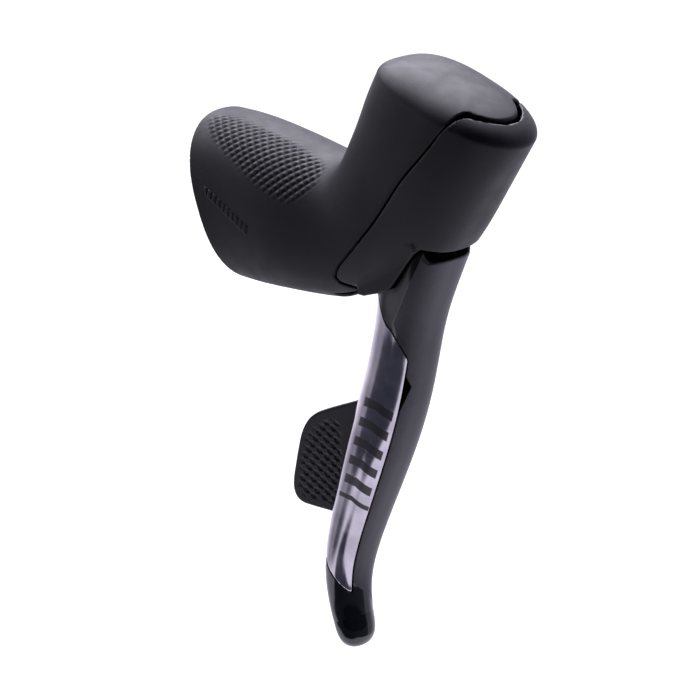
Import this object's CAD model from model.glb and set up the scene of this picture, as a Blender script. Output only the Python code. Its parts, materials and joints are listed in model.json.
# A brake and shift lever for a drop handlebar: rubber hood on a housing, front cover, lever
# blade with a polished panel, shift paddle, bar clamp and hose.
# Shapes are worked out in the layout frame, in millimetres: X forward, Y inboard, Z up. The
# world's origin is SEAT, where the housing meets the bar, and the world is in metres.
# A surface is a signed distance field, negative inside. It is meshed on a grid, moved on to the
# exact surface and given the field's own normals.
import json
import math
from collections import namedtuple
import bmesh
import bpy
import numpy as np
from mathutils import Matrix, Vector


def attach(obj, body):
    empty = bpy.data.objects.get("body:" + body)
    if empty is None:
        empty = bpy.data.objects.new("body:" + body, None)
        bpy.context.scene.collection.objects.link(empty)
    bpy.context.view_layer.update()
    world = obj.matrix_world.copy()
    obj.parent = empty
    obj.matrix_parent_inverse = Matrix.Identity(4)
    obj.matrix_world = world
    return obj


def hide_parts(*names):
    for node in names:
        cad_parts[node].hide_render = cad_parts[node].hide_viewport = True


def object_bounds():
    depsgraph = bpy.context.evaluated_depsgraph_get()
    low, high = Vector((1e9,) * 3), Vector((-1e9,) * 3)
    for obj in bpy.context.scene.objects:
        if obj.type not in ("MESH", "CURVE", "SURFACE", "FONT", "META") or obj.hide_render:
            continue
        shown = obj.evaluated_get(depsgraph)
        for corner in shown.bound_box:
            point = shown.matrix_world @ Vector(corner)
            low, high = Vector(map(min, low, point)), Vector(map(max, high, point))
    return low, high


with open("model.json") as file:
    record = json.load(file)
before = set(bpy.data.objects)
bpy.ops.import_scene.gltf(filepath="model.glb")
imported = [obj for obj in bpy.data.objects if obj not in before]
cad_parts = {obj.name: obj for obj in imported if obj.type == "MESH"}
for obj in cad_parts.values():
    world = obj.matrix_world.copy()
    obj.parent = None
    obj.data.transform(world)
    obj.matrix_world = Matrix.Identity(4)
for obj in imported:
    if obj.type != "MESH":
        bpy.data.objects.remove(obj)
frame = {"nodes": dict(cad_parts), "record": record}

CAD_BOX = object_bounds()
SEAT = np.array((9.4, 0.0, 1.3))
MM = 0.001

# ------------------------------------------------------------------ driving dimensions
# Hood sections, rear to nose: crest x, z; underside x, z; half width; superellipse exponents
# of the crest half and of the underside half.
HOOD = [
    (-10.2, 24.3, 9.0, -24.5, 20.0, 2.30, 2.58),
    (4.4, 24.3, 18.0, -24.5, 19.5, 2.30, 2.57),
    (22.5, 22.3, 30.8, -23.5, 19.4, 2.30, 2.52),
    (37.3, 20.2, 45.1, -21.9, 18.2, 2.30, 2.58),
    (47.2, 20.8, 60.1, -18.3, 17.3, 2.30, 2.64),
    (52.6, 28.8, 74.2, -10.7, 17.1, 2.40, 2.69),
    (56.6, 37.2, 87.6, -0.8, 16.9, 2.60, 2.66),
    (60.2, 44.7, 99.7, 17.5, 17.0, 2.80, 2.70),
    (63.1, 51.1, 112.1, 35.7, 16.5, 2.80, 2.14),
]
LAST = 8.0  # station of the last hood section; a dome closes the nose beyond it
DOME_HEIGHT, DOME_POWER = 6.7, 2.2
WALL, CORE_INSET = 2.0, 2.3

# Side view x, z: parting line of hood and cover from the nose down, the cover's heel and its
# lower edge.
SPLIT = [
    (115, 40.3), (106.4, 42.7), (102.1, 44.2), (98.9, 45.1), (97.2, 42.9), (95.4, 39.9),
    (89.8, 33.0), (81.4, 23.4), (76.0, 16.1), (70.0, 8.0), (64.4, 1.5), (59.7, -3.8),
    (56.4, -7.5), (54.5, -10.8)]
COVER_HEEL = [(55.6, -12.7), (60.0, -13.6)]
LOWER_EDGE = [
    (64.0, -14.6), (66.6, -13.6), (69.4, -12.1), (73.9, -7.8), (78.3, -3.2), (80.8, -0.1),
    (83.0, 2.4), (85.0, 2.8), (87.6, 2.1), (89.5, 1.1), (92.0, 0.8)]

# Lever blade, top to tip: middle x, y, z; half width; half depth; superellipse exponent.
BLADE = [
    (76.2, 0.0, 1.9, 11.3, 11.9, 3.0),
    (73.3, -0.7, -11.7, 10.5, 9.8, 3.0),
    (70.4, -0.8, -25.7, 9.8, 8.7, 2.8),
    (66.5, -1.4, -44.9, 10.2, 9.0, 2.6),
    (61.6, -3.0, -64.1, 10.2, 8.8, 2.6),
    (55.8, -4.6, -84.5, 9.3, 7.4, 2.6),
    (51.8, -6.3, -102.9, 8.4, 6.1, 2.4),
    (52.8, -7.5, -116.1, 7.3, 5.1, 2.3),
    (56.2, -8.3, -125.2, 6.2, 4.0, 2.2),
    (58.0, -8.3, -130.0, 1.6, 1.0, 2.0),
]

# Lines are a point and a unit direction.
ACROSS = (0.0, 1.0, 0.0)
PIVOT = ((78.0, 0.0, 8.5), ACROSS)
BATTERY = ((36.0, 0.0, 0.0), ACROSS)
BUTTON = ((77.0, 0.0, 32.0), ACROSS)
LIGHT = ((68.5, 0.0, 38.5), ACROSS)
CYLINDER_TILT = math.radians(28.7)
CYLINDER = ((68.0, 0.0, 12.5), (math.sin(CYLINDER_TILT), 0.0, math.cos(CYLINDER_TILT)))
PADDLE_TILT = math.radians(12.0)
DEPTH = (math.cos(PADDLE_TILT), 0.0, -math.sin(PADDLE_TILT))
PADDLE_PIN = ((67.5, 0.3, -15.0), DEPTH)
SWITCH_AT = (67.5 + 8.0 * math.sin(PADDLE_TILT), -5.4, -15.0 + 8.0 * math.cos(PADDLE_TILT))
HOSE_RISE = math.radians(8.0)
HOSE = ((23.0, 8.0, 12.8), (-math.cos(HOSE_RISE), 0.0, math.sin(HOSE_RISE)))
HOSE_LENGTH, HOSE_BORE = 33.0, 1.2

# The handlebar: its radius, the radius of its bend and of the channel in the housing.
BAR_R, BEND_R, CHANNEL_R = 11.9, 60.0, 12.6
BAR_TILT = math.radians(38.0)
BAR_OUT = np.array((math.cos(BAR_TILT), 0, math.sin(BAR_TILT)))
BAR_ALONG = np.array((-math.sin(BAR_TILT), 0, math.cos(BAR_TILT)))
BAR_AT = SEAT - BAR_R * BAR_OUT


def at_bar(out, y, along):
    return tuple(BAR_AT + BAR_OUT * out + np.array((0, y, 0)) + BAR_ALONG * along)


STRAP_R = 12.7
STRAP_WIDTH = 10.8
HOOK = (at_bar(9.5, STRAP_R, 0), BAR_ALONG)
EYE = (at_bar(13.0, -12.6, 0), BAR_ALONG)
BOLT = (EYE[0], BAR_OUT)


# ------------------------------------------------------------------ distance helpers
def spline(values):
    """Natural cubic spline through values at 0, 1, 2, ..., for arrays."""
    values = np.asarray(values, float)
    count = len(values)
    system = np.zeros((count, count))
    right = np.zeros(count)
    system[0, 0] = system[-1, -1] = 1.0
    for i in range(1, count - 1):
        system[i, i - 1:i + 2] = (1.0, 4.0, 1.0)
        right[i] = 3.0 * (values[i + 1] - 2.0 * values[i] + values[i - 1])
    square = np.linalg.solve(system, right)
    linear = np.diff(values) - (2.0 * square[:-1] + square[1:]) / 3.0
    cube = np.diff(square) / 3.0

    def curve(x):
        i = np.clip(np.floor(x).astype(int), 0, count - 2)
        t = x - i
        return values[i] + t * (linear[i] + t * (square[i] + t * cube[i]))
    return curve


def meet(a, b, r):
    """Intersection of two fields with its edge rounded to radius r."""
    return np.minimum(-r, np.maximum(a, b)) + np.hypot(np.maximum(r + a, 0), np.maximum(r + b, 0))


def cut(a, tool, r):
    return meet(a, -tool, r)


def join(a, b, r):
    """Union of two fields with a fillet of radius r."""
    return np.maximum(r, np.minimum(a, b)) - np.hypot(np.maximum(r - a, 0), np.maximum(r - b, 0))


def cap(a, b, r):
    """Intersection, rounded only if r is given."""
    return meet(a, b, r) if r else np.maximum(a, b)


def step(start, end, x):
    t = np.clip((x - start) / (end - start), 0, 1)
    return t * t * (3 - 2 * t)


def polyline(x, z, line):
    """Distance to an open polyline."""
    best = np.full(x.shape, 1e18)
    for (ax, az), (bx, bz) in zip(line, line[1:]):
        ex, ez = bx - ax, bz - az
        k = np.clip(((x - ax) * ex + (z - az) * ez) / (ex * ex + ez * ez), 0, 1)
        best = np.minimum(best, (x - ax - ex * k) ** 2 + (z - az - ez * k) ** 2)
    return np.sqrt(best)


def polygon(x, z, outline):
    """Signed distance to a closed polygon, negative inside."""
    loop = [*outline, outline[0]]
    inside = np.zeros(x.shape, bool)
    for (ax, az), (bx, bz) in zip(loop, loop[1:]):
        if az != bz:
            crossing = (bx - ax) * (z - az) / (bz - az) + ax
            inside ^= ((az > z) != (bz > z)) & (x < crossing)
    return np.where(inside, -1.0, 1.0) * polyline(x, z, loop)


def offset(outline, distance):
    """Clockwise closed polygon moved outwards."""
    corners = [Vector(corner) for corner in outline]
    moved = []
    for i, corner in enumerate(corners):
        before = (corner - corners[i - 1]).normalized()
        after = (corners[(i + 1) % len(corners)] - corner).normalized()
        normal = Vector((-before.y, before.x)) + Vector((-after.y, after.x))
        normal = normal / max(normal.length_squared / 2.0, 0.25)
        moved.append(tuple(corner + normal * distance))
    return moved


def fair(line, closed=False, steps=6):
    """Polyline run through a centripetal curve, so that its corners turn softly."""
    line = [np.array(point, float) for point in line]
    count = len(line)
    out = []
    for i in range(count if closed else count - 1):
        start, end = line[i], line[(i + 1) % count]
        before = line[i - 1] if closed or i > 0 else 2 * start - end
        after = line[(i + 2) % count] if closed or i + 2 < count else 2 * end - start
        knots = [0.0]
        for a, b in ((before, start), (start, end), (end, after)):
            knots.append(knots[-1] + np.linalg.norm(b - a) ** 0.5)

        def between(a, b, j, k):
            return (a * (knots[k] - t) + b * (t - knots[j])) / (knots[k] - knots[j])

        for k in range(steps):
            t = knots[1] + (knots[2] - knots[1]) * k / steps
            middle = between(start, end, 1, 2)
            early = between(between(before, start, 0, 1), middle, 0, 2)
            late = between(middle, between(end, after, 2, 3), 1, 3)
            out.append(tuple(between(early, late, 1, 2)))
    if not closed:
        out.append(tuple(line[-1]))
    return out


def slab(x, start, end):
    return np.abs(x - (start + end) / 2) - (end - start) / 2


def prism(pts, outline, y0, y1, r=0.0):
    """Side-view outline between two Y planes."""
    return cap(polygon(pts[:, 0], pts[:, 2], outline), slab(pts[:, 1], y0, y1), r)


def axial(pts, line):
    """Distance from a line and distance along it."""
    at, axis = np.array(line)
    rel = pts - at
    along = rel @ axis
    return np.linalg.norm(rel - along[:, None] * axis, axis=1), along


def along_line(line, distance):
    return np.array(line[0]) + np.array(line[1]) * distance


def rod(pts, line, radius, start, end, r=0.0):
    dist, along = axial(pts, line)
    return cap(dist - radius, slab(along, start, end), r)


def hex_rod(pts, line, radius, start, end, r=0.0):
    """Six-sided rod on a line square to Y; radius to its corners."""
    at, axis = line
    rel = pts - np.array(at)
    rise = rel[:, 2] * axis[0] - rel[:, 0] * axis[2]
    turns = [math.pi / 3 * k for k in range(6)]
    sides = [rel[:, 1] * math.cos(turn) + rise * math.sin(turn) for turn in turns]
    dist = np.max(sides, axis=0) - radius * math.cos(math.pi / 6)
    return cap(dist, slab(axial(pts, line)[1], start, end), r)


def box(pts, centre, half, tilt):
    """Box with one side along tilt (X-Z) and one along Y."""
    rel = pts - np.asarray(centre)
    axes = np.array((tilt, ACROSS, (-tilt[2], 0, tilt[0])))
    over = np.abs(rel @ axes.T) - half
    return np.linalg.norm(np.maximum(over, 0), axis=1) + np.minimum(over.max(1), 0)


def superellipse(u, v, half_u, half_v, power):
    """Level (1 on the curve) and its slope."""
    ru, rv = np.abs(u / half_u) + 1e-9, np.abs(v / half_v) + 1e-9
    total = ru ** power + rv ** power
    k = total ** (1 / power - 1)
    slope_u, slope_v = k * ru ** (power - 1) / half_u, k * rv ** (power - 1) / half_v
    return total ** (1 / power), np.hypot(slope_u, slope_v)


def signed_power(x, power):
    return np.sign(x) * np.abs(x) ** power


def lengths(curve):
    """Length along a curve up to each of its points."""
    steps = np.linalg.norm(np.diff(curve, axis=-2), axis=-1)
    return np.insert(np.cumsum(steps, axis=-1), 0, 0, axis=-1)


def cell_of(x, last):
    """Table index and fraction within it."""
    x = np.clip(x, 0, last)
    i = x.astype(int)
    return i, x - i


def bilinear(table, i, j, fi, fj):
    return ((table[i, j] * (1 - fi) + table[i + 1, j] * fi) * (1 - fj) +
            (table[i, j + 1] * (1 - fi) + table[i + 1, j + 1] * fi) * fj)


def station_finder(ahead_of, sections, low, high, x0, x1, z0, z1):
    """Function giving the station whose plane passes through a point in side view."""
    pitch, gap = 0.5, 0.05  # of the table, in millimetres and in stations
    grid_x, grid_z = np.arange(x0, x1, pitch), np.arange(z0, z1, pitch)
    stations = np.arange(low, high + gap / 2, gap)
    xx, zz = [q.ravel()[:, None] for q in np.meshgrid(grid_x, grid_z, indexing="ij")]
    gaps = ahead_of(xx, zz, sections(stations))
    k = np.clip((gaps > 0).sum(1) - 1, 0, len(stations) - 2)
    i = np.arange(len(k))
    part = np.clip(gaps[i, k] / (gaps[i, k] - gaps[i, k + 1]), 0, 1)
    table = (stations[k] + part * gap).reshape(len(grid_x), len(grid_z))

    def solve(x, z):
        i, fi = cell_of((x - x0) / pitch, len(grid_x) - 1.001)
        j, fj = cell_of((z - z0) / pitch, len(grid_z) - 1.001)
        t = bilinear(table, i, j, fi, fj)
        for _ in range(2):  # Newton steps
            miss = ahead_of(x, z, sections(t))
            rate = (ahead_of(x, z, sections(t + 1e-3)) - miss) / 1e-3
            t = np.clip(t - miss / np.minimum(rate, -1.0), low, high)
        return t
    return solve


# ------------------------------------------------------------------ hood and front cover skin
HOOD_CURVES = [spline(column) for column in zip(*HOOD)]
Section = namedtuple("Section", "x z mid_x mid_z dir_x dir_z half_down half_width top_power "
                                "low_power")
HoodPoint = namedtuple("HoodPoint", "station down y half_down half_width power lift")


def section(station):
    """Hood section: crest, middle, direction from crest to underside, half sizes, exponents."""
    x, z, low_x, low_z, half_width, top_power, low_power = [f(station) for f in HOOD_CURVES]
    length = np.hypot(low_x - x, low_z - z)
    return Section(x, z, (x + low_x) / 2, (z + low_z) / 2, (low_x - x) / length,
                   (low_z - z) / length, length / 2, half_width, top_power, low_power)


def ahead(x, z, sec):
    """How far a point is in front of a section."""
    return -(x - sec.x) * sec.dir_z + (z - sec.z) * sec.dir_x


hood_station = station_finder(ahead, section, -0.6, LAST, -20, 130, -36, 70)
REAR = section(np.array(0.0))


def hood_local(pts):
    x, y, z = pts.T
    station = hood_station(x, z)
    sec = section(station)
    lift = np.where(station >= LAST - 1e-9, np.maximum(ahead(x, z, sec), 0), 0)
    down = (x - sec.mid_x) * sec.dir_x + (z - sec.mid_z) * sec.dir_z
    power = np.where(down < 0, sec.top_power, sec.low_power)
    return HoodPoint(station, down, y, sec.half_down, sec.half_width, power, lift)


def skin(loc, inset=0.0):
    """Distance to the hood's skin, or to one inset from it."""
    level, slope = superellipse(loc.down, loc.y, loc.half_down - inset, loc.half_width - inset,
                                loc.power)
    height = DOME_HEIGHT - inset
    rise = loc.lift / height
    total = (level ** DOME_POWER + rise ** DOME_POWER) ** (1 / DOME_POWER)
    k = np.maximum(total, 1e-6) ** (1 - DOME_POWER)
    return (total - 1) / np.hypot(k * level ** (DOME_POWER - 1) * slope,
                                  k * rise ** (DOME_POWER - 1) / height)


def behind(pts):
    """Positive behind the hood's rear end."""
    return -ahead(pts[:, 0], pts[:, 2], REAR)


def hood_xyz(station, angle):
    """Point on the skin; the angle is 0 at the crest."""
    sec = section(station)
    cos, sin = np.cos(angle), np.sin(angle)
    power = np.where(cos > 0, sec.top_power, sec.low_power)
    down = -signed_power(cos, 2 / power) * sec.half_down
    y = signed_power(sin, 2 / power) * sec.half_width
    return np.stack([sec.mid_x + sec.dir_x * down, y, sec.mid_z + sec.dir_z * down], -1)


# lengths on the skin: along the hood, and round it from the crest
RUN_ANGLE = 0.8
RUN_STATIONS = np.linspace(0, LAST, 161)
HOOD_RUN = lengths(hood_xyz(RUN_STATIONS, np.full(161, RUN_ANGLE)))
ARC_ROWS, ARC_COLS = 33, 121
HOOD_ARC = lengths(hood_xyz(
    np.repeat(np.linspace(0, LAST, ARC_ROWS), ARC_COLS),
    np.tile(np.linspace(0, math.pi, ARC_COLS), ARC_ROWS)).reshape(ARC_ROWS, ARC_COLS, 3))


def run_arc(station, angle):
    i, fi = cell_of(station * 4, ARC_ROWS - 1.001)
    j, fj = cell_of(angle / math.pi * 120, ARC_COLS - 1.001)
    return np.interp(station, RUN_STATIONS, HOOD_RUN), bilinear(HOOD_ARC, i, j, fi, fj)


def hood_run_arc(loc):
    side = np.abs(loc.y / loc.half_width) ** (loc.power / 2)
    up = -signed_power(loc.down / loc.half_down, loc.power / 2)
    return run_arc(loc.station, np.arctan2(side, up))


def on_skin(rows):
    """Station and degrees (360 at the crest) as a polygon in run and arc."""
    station, degrees = np.array(rows, float).T
    return list(zip(*run_arc(station, np.radians(360 - degrees))))


GRIP = fair(on_skin([
    (0.14, 341), (0.42, 352), (1.22, 354), (2.15, 353), (3.0, 347), (3.62, 338), (3.66, 317),
    (3.35, 300), (2.80, 287), (2.05, 291), (1.14, 306), (0.38, 323)]), closed=True)
RIBS = on_skin([(0.48, 283.0), (1.68, 267.5), (1.60, 261.5), (0.50, 275.5)])
GRIP_HEIGHT, RIB_HEIGHT, RIB_PITCH = 0.46, 0.34, 2.3


def wave(x):
    return (0.5 - 0.5 * np.cos(2 * math.pi * x)) ** 0.6


def grip(loc):
    """Height of the moulded diamond grip and of the outboard patch of plain ribs."""
    run, arc = hood_run_arc(loc)
    inboard = np.where(loc.y > 0, step(12.5, 15.5, arc), 1.0)
    fade = step(0.0, 3.6, -polygon(run, arc, GRIP)) * inboard
    first = wave((run / 3.5 + arc / 3.7) * 1.36)
    second = wave((run / 3.5 - arc / 3.7) * 1.08)
    diamonds = fade * GRIP_HEIGHT * (first * (0.28 + 0.72 * second) - 0.30)
    patch = step(0.0, 0.5, -polygon(run, arc, RIBS)) * (loc.y < 0)
    rib = (run + 0.55 * arc) / RIB_PITCH
    return diamonds + patch * RIB_HEIGHT * step(0, 0.22, np.abs(rib - np.round(rib)))


# Side-view outlines x, z. At the nose the hood ends in a thin tongue over a wider groove.
HOOD_NOSE = [
    (115.0, 40.2), (105.9, 42.95), (103.4, 43.8), (100.8, 44.65), (99.0, 45.15), (98.0, 44.4),
    (97.2, 42.5)]
COVER_NOSE = [
    (115.0, 39.7), (107.5, 42.0), (106.4, 42.4), (104.5, 43.0), (102.4, 43.55), (100.1, 44.0),
    (98.8, 43.3), (97.7, 41.9)]
COVER_REGION = (fair(COVER_NOSE + SPLIT[5:], steps=5) + COVER_HEEL + LOWER_EDGE +
                [(125.0, 0.8), (125.0, 38.0)])
HOOD_CUTAWAY = (fair(HOOD_NOSE + SPLIT[5:], steps=5) + COVER_HEEL +
                [(60.6, -14.4), (60.6, -60.0), (125.0, -60.0), (125.0, 38.0)])
BELOW_EDGE = offset([(60.6, -60.0), (60.6, -14.0)] + LOWER_EDGE +
                    [(125.0, 1.5), (125.0, -60.0)], 1.0)
# lips either side of the lever, down to its shoulders
LIP = [
    (61.2, -15.4), (63.8, -15.3), (67.0, -14.1), (69.8, -13.1), (73.0, -11.6), (74.6, -9.9),
    (77.7, -5.6), (80.0, -2.3), (82.7, 1.3), (83.9, 2.3), (83.4, 4.6), (80.6, 4.6),
    (76.0, 0.6), (70.0, -5.4), (65.0, -9.4), (61.6, -12.4)]
HOOD_SLOT = [
    (50.0, -60.0), (50.0, -14.0), (53.0, -9.0), (58.0, -5.0), (66.5, -2.0), (66.5, -60.0)]
COVER_SLOT = [
    (50.0, -60.0), (50.0, -14.0), (58.0, -6.0), (72.0, 0.5), (84.0, 0.9), (84.0, -60.0)]
NOSE_COS, NOSE_SIN = 0.954, 0.300  # slope of the skin at the nose


def at_nose(x, z):
    return step(92.0, 98.0, x + 0.35 * (z - 40.0))


def parting(loc, x, z, region, nose):
    """Distance to a parting surface; at the nose it stands square to the skin."""
    scale = np.ones_like(x)
    k = np.nonzero(nose > 0)[0]
    if len(k):
        near = HoodPoint(*[column[k] for column in loc])
        reach = 0.05
        depth = skin(near)
        by_down = (skin(near._replace(down=near.down + reach)) - depth) / reach
        by_lift = (skin(near._replace(lift=near.lift + reach)) - depth) / reach
        depth = np.clip(depth, -4.0, 4.0) * nose[k]
        flat = np.sqrt(np.maximum(1 - by_lift * by_lift, 0))
        scale[k] = 1 + nose[k] * (np.clip(flat, 0.3, 1.0) - 1)
        x, z = x.copy(), z.copy()
        x[k] -= depth * (NOSE_COS * by_down + NOSE_SIN * by_lift)
        z[k] -= depth * (NOSE_COS * by_lift - NOSE_SIN * by_down)
    return polygon(x, z, region) / scale


def shell(dist, loc, edge, edge_r):
    """Wall under a skin, ended at an edge."""
    return cut(meet(dist, edge, edge_r), skin(loc, WALL), 0.45)


def hood_field(pts, detail=True):
    loc = hood_local(pts)
    dist = skin(loc)
    if detail:
        dist = dist - grip(loc)
    x, y, z = pts.T
    nose = at_nose(x, z)
    edge = 0.25 * (1 - nose) - parting(loc, x, z, HOOD_CUTAWAY, nose)
    slot = np.maximum(polygon(x, z, HOOD_SLOT), np.abs(y) - 11.2)
    for tool in (slot, rod(pts, BUTTON, 4.5, 6, 60), rod(pts, LIGHT, 1.6, 6, 60), -behind(pts)):
        edge = np.maximum(edge, -tool)
    return shell(dist, loc, edge, 0.80 - 0.35 * nose)


def lip_slab(y):
    return slab(np.abs(y), 12.1, 13.6)


def cover_field(pts):
    loc = hood_local(pts)
    x, y, z = pts.T
    nose = at_nose(x, z)
    edge = parting(loc, x, z, COVER_REGION, nose) + 0.22 * (1 - nose)
    edge = np.maximum(edge, -np.maximum(polygon(x, z, COVER_SLOT), np.abs(y) - 12.0))
    dist = shell(skin(loc), loc, edge, 0.7 - 0.3 * nose)
    return join(dist, meet(lip_slab(y), polygon(x, z, LIP), 0.55), 1.2)


def shade_of_core(pts):
    """1 on the housing beside the parting line."""
    return step(5.5, 3.5, polyline(pts[:, 0], pts[:, 2], SPLIT))


def shade_in_gap(pts):
    """1 on the walls of the parting gaps and inside the shells, 0 on the outer skin."""
    x, y, z = pts.T
    under = step(0.0, 1.0, (-skin(hood_local(pts)) - 0.50 + 0.15 * at_nose(x, z)) / 0.5)
    lip = np.maximum(lip_slab(y), polygon(x, z, LIP))
    return under * (1 - step(1.2, 0.3, lip) * (np.abs(y) > 12.4))


# ------------------------------------------------------------------ lever blade
BLADE_CURVES = [spline(column) for column in zip(*BLADE)]
BladePoint = namedtuple("BladePoint", "station forward inboard half_width half_depth power")


def blade_line(station):
    """Point of the blade's middle line and its direction."""
    reach = 1e-3
    middle = BLADE_CURVES[:3]
    tangent = [(f(station + reach) - f(station - reach)) / (2 * reach) for f in middle]
    size = np.sqrt(tangent[0] ** 2 + tangent[1] ** 2 + tangent[2] ** 2)
    return [f(station) for f in middle], [q / size for q in tangent]


def blade_ahead(x, z, line):
    at, tangent = line
    return (x - at[0]) * tangent[0] + (z - at[2]) * tangent[2]


blade_station = station_finder(blade_ahead, blade_line, -0.3, 9.0, 20, 110, -140, 20)
# from TIP_START on the blade closes as a superellipse
TIP_START, TIP_END, TIP_POWER = 7.5, 9.06, 2.1
TIP_LINE, TOP_LINE = blade_line(np.array(9.0)), blade_line(np.array(-0.3))


def blade_local(pts):
    x, y, z = pts.T
    station = blade_station(x, z)
    middle, (tx, ty, tz) = blade_line(station)
    inboard = np.stack([-tx * ty, 1 - ty * ty, -tz * ty], 1)
    inboard /= np.linalg.norm(inboard, axis=1)[:, None]
    forward = np.cross(np.stack([tx, ty, tz], 1), inboard)
    forward *= np.where(forward[:, :1] < 0, -1, 1)
    rel = pts - np.stack(middle, 1)
    close = np.clip((station - TIP_START) / (TIP_END - TIP_START), 0, 1)
    close = (1 - close ** TIP_POWER) ** (1 / TIP_POWER)
    width, depth = [f(np.minimum(station, TIP_START)) * close for f in BLADE_CURVES[3:5]]
    return BladePoint(station, (rel * forward).sum(1), (rel * inboard).sum(1), width, depth,
                      BLADE_CURVES[5](station))


def blade_skin(pts, loc):
    level, slope = superellipse(loc.forward, loc.inboard, loc.half_depth, loc.half_width,
                                loc.power)
    x, z = pts[:, 0], pts[:, 2]
    dist = meet((level - 1) / slope, blade_ahead(x, z, TIP_LINE), 0.5)
    return cut(dist, blade_ahead(x, z, TOP_LINE), 0.0)


def blade_angle(loc):
    """Degrees round the blade: 0 is the front, 270 the outboard side."""
    side = signed_power(loc.inboard / loc.half_width, loc.power / 2)
    front = signed_power(loc.forward / loc.half_depth, loc.power / 2)
    return np.degrees(np.arctan2(side, front)) % 360


BLADE_STATIONS = np.linspace(0, 9, 181)
BLADE_RUN = lengths(np.stack([f(BLADE_STATIONS) for f in BLADE_CURVES[:3]], 1))


def blade_run(station):
    """Length down the blade's middle line."""
    return np.interp(station, BLADE_STATIONS, BLADE_RUN)


# side-view outlines x, z
BLADE_OUTLINE = [
    (59.9, -60.0), (59.9, -16.4), (63.8, -15.5), (66.3, -14.5), (69.0, -12.9), (73.3, -8.4),
    (77.7, -3.8), (80.1, -0.8), (82.4, 1.5), (83.5, 1.6), (84.2, -0.6), (85.1, -1.7),
    (125.0, -1.8), (125.0, -170.0), (30.0, -170.0)]
ARM_RECESS = [
    (73.8, -3.5), (71.9, -15.9), (66.4, -45.0), (62.3, -64.0), (58.4, -84.0), (56.4, -97.0),
    (30.0, -97.0), (30.0, -3.5)]
NECK = [
    (73.2, -12.0), (73.6, -3.2), (72.6, 7.0), (82.9, 7.0), (83.3, 0.5), (83.1, -3.0),
    (80.0, -12.0)]
NECK_SIDE = [(73.8, -11.0), (74.4, -1.7), (82.8, -1.7), (79.2, -11.0)]
PUSH_ARM = [(64.2, 4.0), (64.2, 8.6), (70.0, 13.2), (75.7, 13.5), (75.9, 3.1), (70.0, 0.6)]

# polished panel: stations of its upper and lower ends at five places across it
PANEL_ACROSS = [0.0, 0.25, 0.5, 0.75, 1.0]
PANEL_TOP = [1.10, 1.47, 1.86, 2.10, 2.32]
PANEL_END = [5.75, 5.95, 6.25, 6.50, 6.75]
PANEL_LEFT = -142.0  # degrees
PANEL_GAP, PANEL_POCKET = 0.22, 1.25


def panel_place(loc):
    """Degrees, the panel's right edge in degrees, and the fraction across the panel."""
    angle = blade_angle(loc)
    angle = np.where(angle > 90, angle - 360, angle)
    right = -38.0 + 12.0 * np.clip((loc.station - 2.4) / 4.0, 0, 1)
    return angle, right, (angle - PANEL_LEFT) / (right - PANEL_LEFT)


def panel_edge(loc, grow):
    """Distance outside the panel's outline, measured on the skin."""
    angle, right, across = panel_place(loc)
    across = np.clip(across, 0, 1)
    run = blade_run(loc.station)
    top = blade_run(np.interp(across, PANEL_ACROSS, PANEL_TOP))
    end = blade_run(np.interp(across, PANEL_ACROSS, PANEL_END))
    per_degree = (loc.half_width + loc.half_depth) / 2 * math.pi / 180 * 1.05
    sides = np.maximum((PANEL_LEFT - angle) * per_degree, (angle - right) * per_degree)
    return meet(np.maximum(top - run, run - end), sides, 1.2) - grow


def blade_field(pts):
    x, y, z = pts.T
    loc = blade_local(pts)
    outer = blade_skin(pts, loc)
    dist = meet(outer, polygon(x, z, BLADE_OUTLINE), 0.55)
    dist = cut(dist, np.maximum(polygon(x, z, ARM_RECESS), -(y + 2.6)), 0.6)
    for part, fillet in ((rod(pts, PIVOT, 6.0, -9.6, 5.4, 0.5), 0.6),
                         (prism(pts, NECK, -9.2, 5.1, 0.6), 0.6),
                         (prism(pts, NECK_SIDE, 4.1, 9.4, 0.6), 0.6),
                         (prism(pts, PUSH_ARM, -3.9, 3.9, 0.6), 0.8)):
        dist = join(dist, part, fillet)
    for tool in (rod(pts, CYLINDER, 2.2, -20, 8), rod(pts, CYLINDER, 9.0, -1.4, 9),
                 rod(pts, PIVOT, 4.15, -20, 20), rod(pts, PADDLE_PIN, 1.3, 2, 9.0),
                 box(pts, SWITCH_AT, (3.3, 3.0, 3.1), DEPTH)):
        dist = cut(dist, tool, 0.3)
    pocket = np.maximum(panel_edge(loc, PANEL_GAP), -(outer + PANEL_POCKET))
    return cut(dist, pocket, 0.22)


def panel_field(pts):
    loc = blade_local(pts)
    outer = blade_skin(pts, loc)
    return cut(meet(outer, panel_edge(loc, -0.05), 0.4), outer + 0.9, 0.1)


# left edge of the satin lacquer down the outboard side: station and degrees
SATIN_EDGE = [
    (-0.3, 303), (0.16, 299), (1.1, 286), (1.73, 277), (2.43, 311), (2.76, 342), (3.34, 322),
    (3.86, 320.5), (4.6, 323), (5.4, 328), (6.2, 333), (6.8, 336), (9.0, 340)]
DEGREE = 0.155  # millimetres round the blade, for the gloss outline
TOP_STATION = 14  # millimetres per station above station 0


def gloss_run(station):
    return np.where(station < 0, station * TOP_STATION, blade_run(station))


GLOSS = [(float(gloss_run(station)), angle * DEGREE) for station, angle in SATIN_EDGE]
GLOSS += [(run, angle * DEGREE)
          for run, angle in ((140.0, 340), (140.0, 178), (-20.0, 178), (-20.0, 303))]


def gloss_of(pts):
    """Millimetres inside the gloss region."""
    loc = blade_local(pts)
    angle = blade_angle(loc)
    around = np.where(angle < 120, angle + 360, angle) * DEGREE
    side = -polygon(gloss_run(loc.station), around, GLOSS)
    turn = np.clip(np.where(angle > 180, angle - 360, angle), -60, 60)
    tip = blade_run(loc.station) - blade_run(7.1 + 0.0125 * (turn - 30))
    return np.maximum(side, tip)


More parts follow.
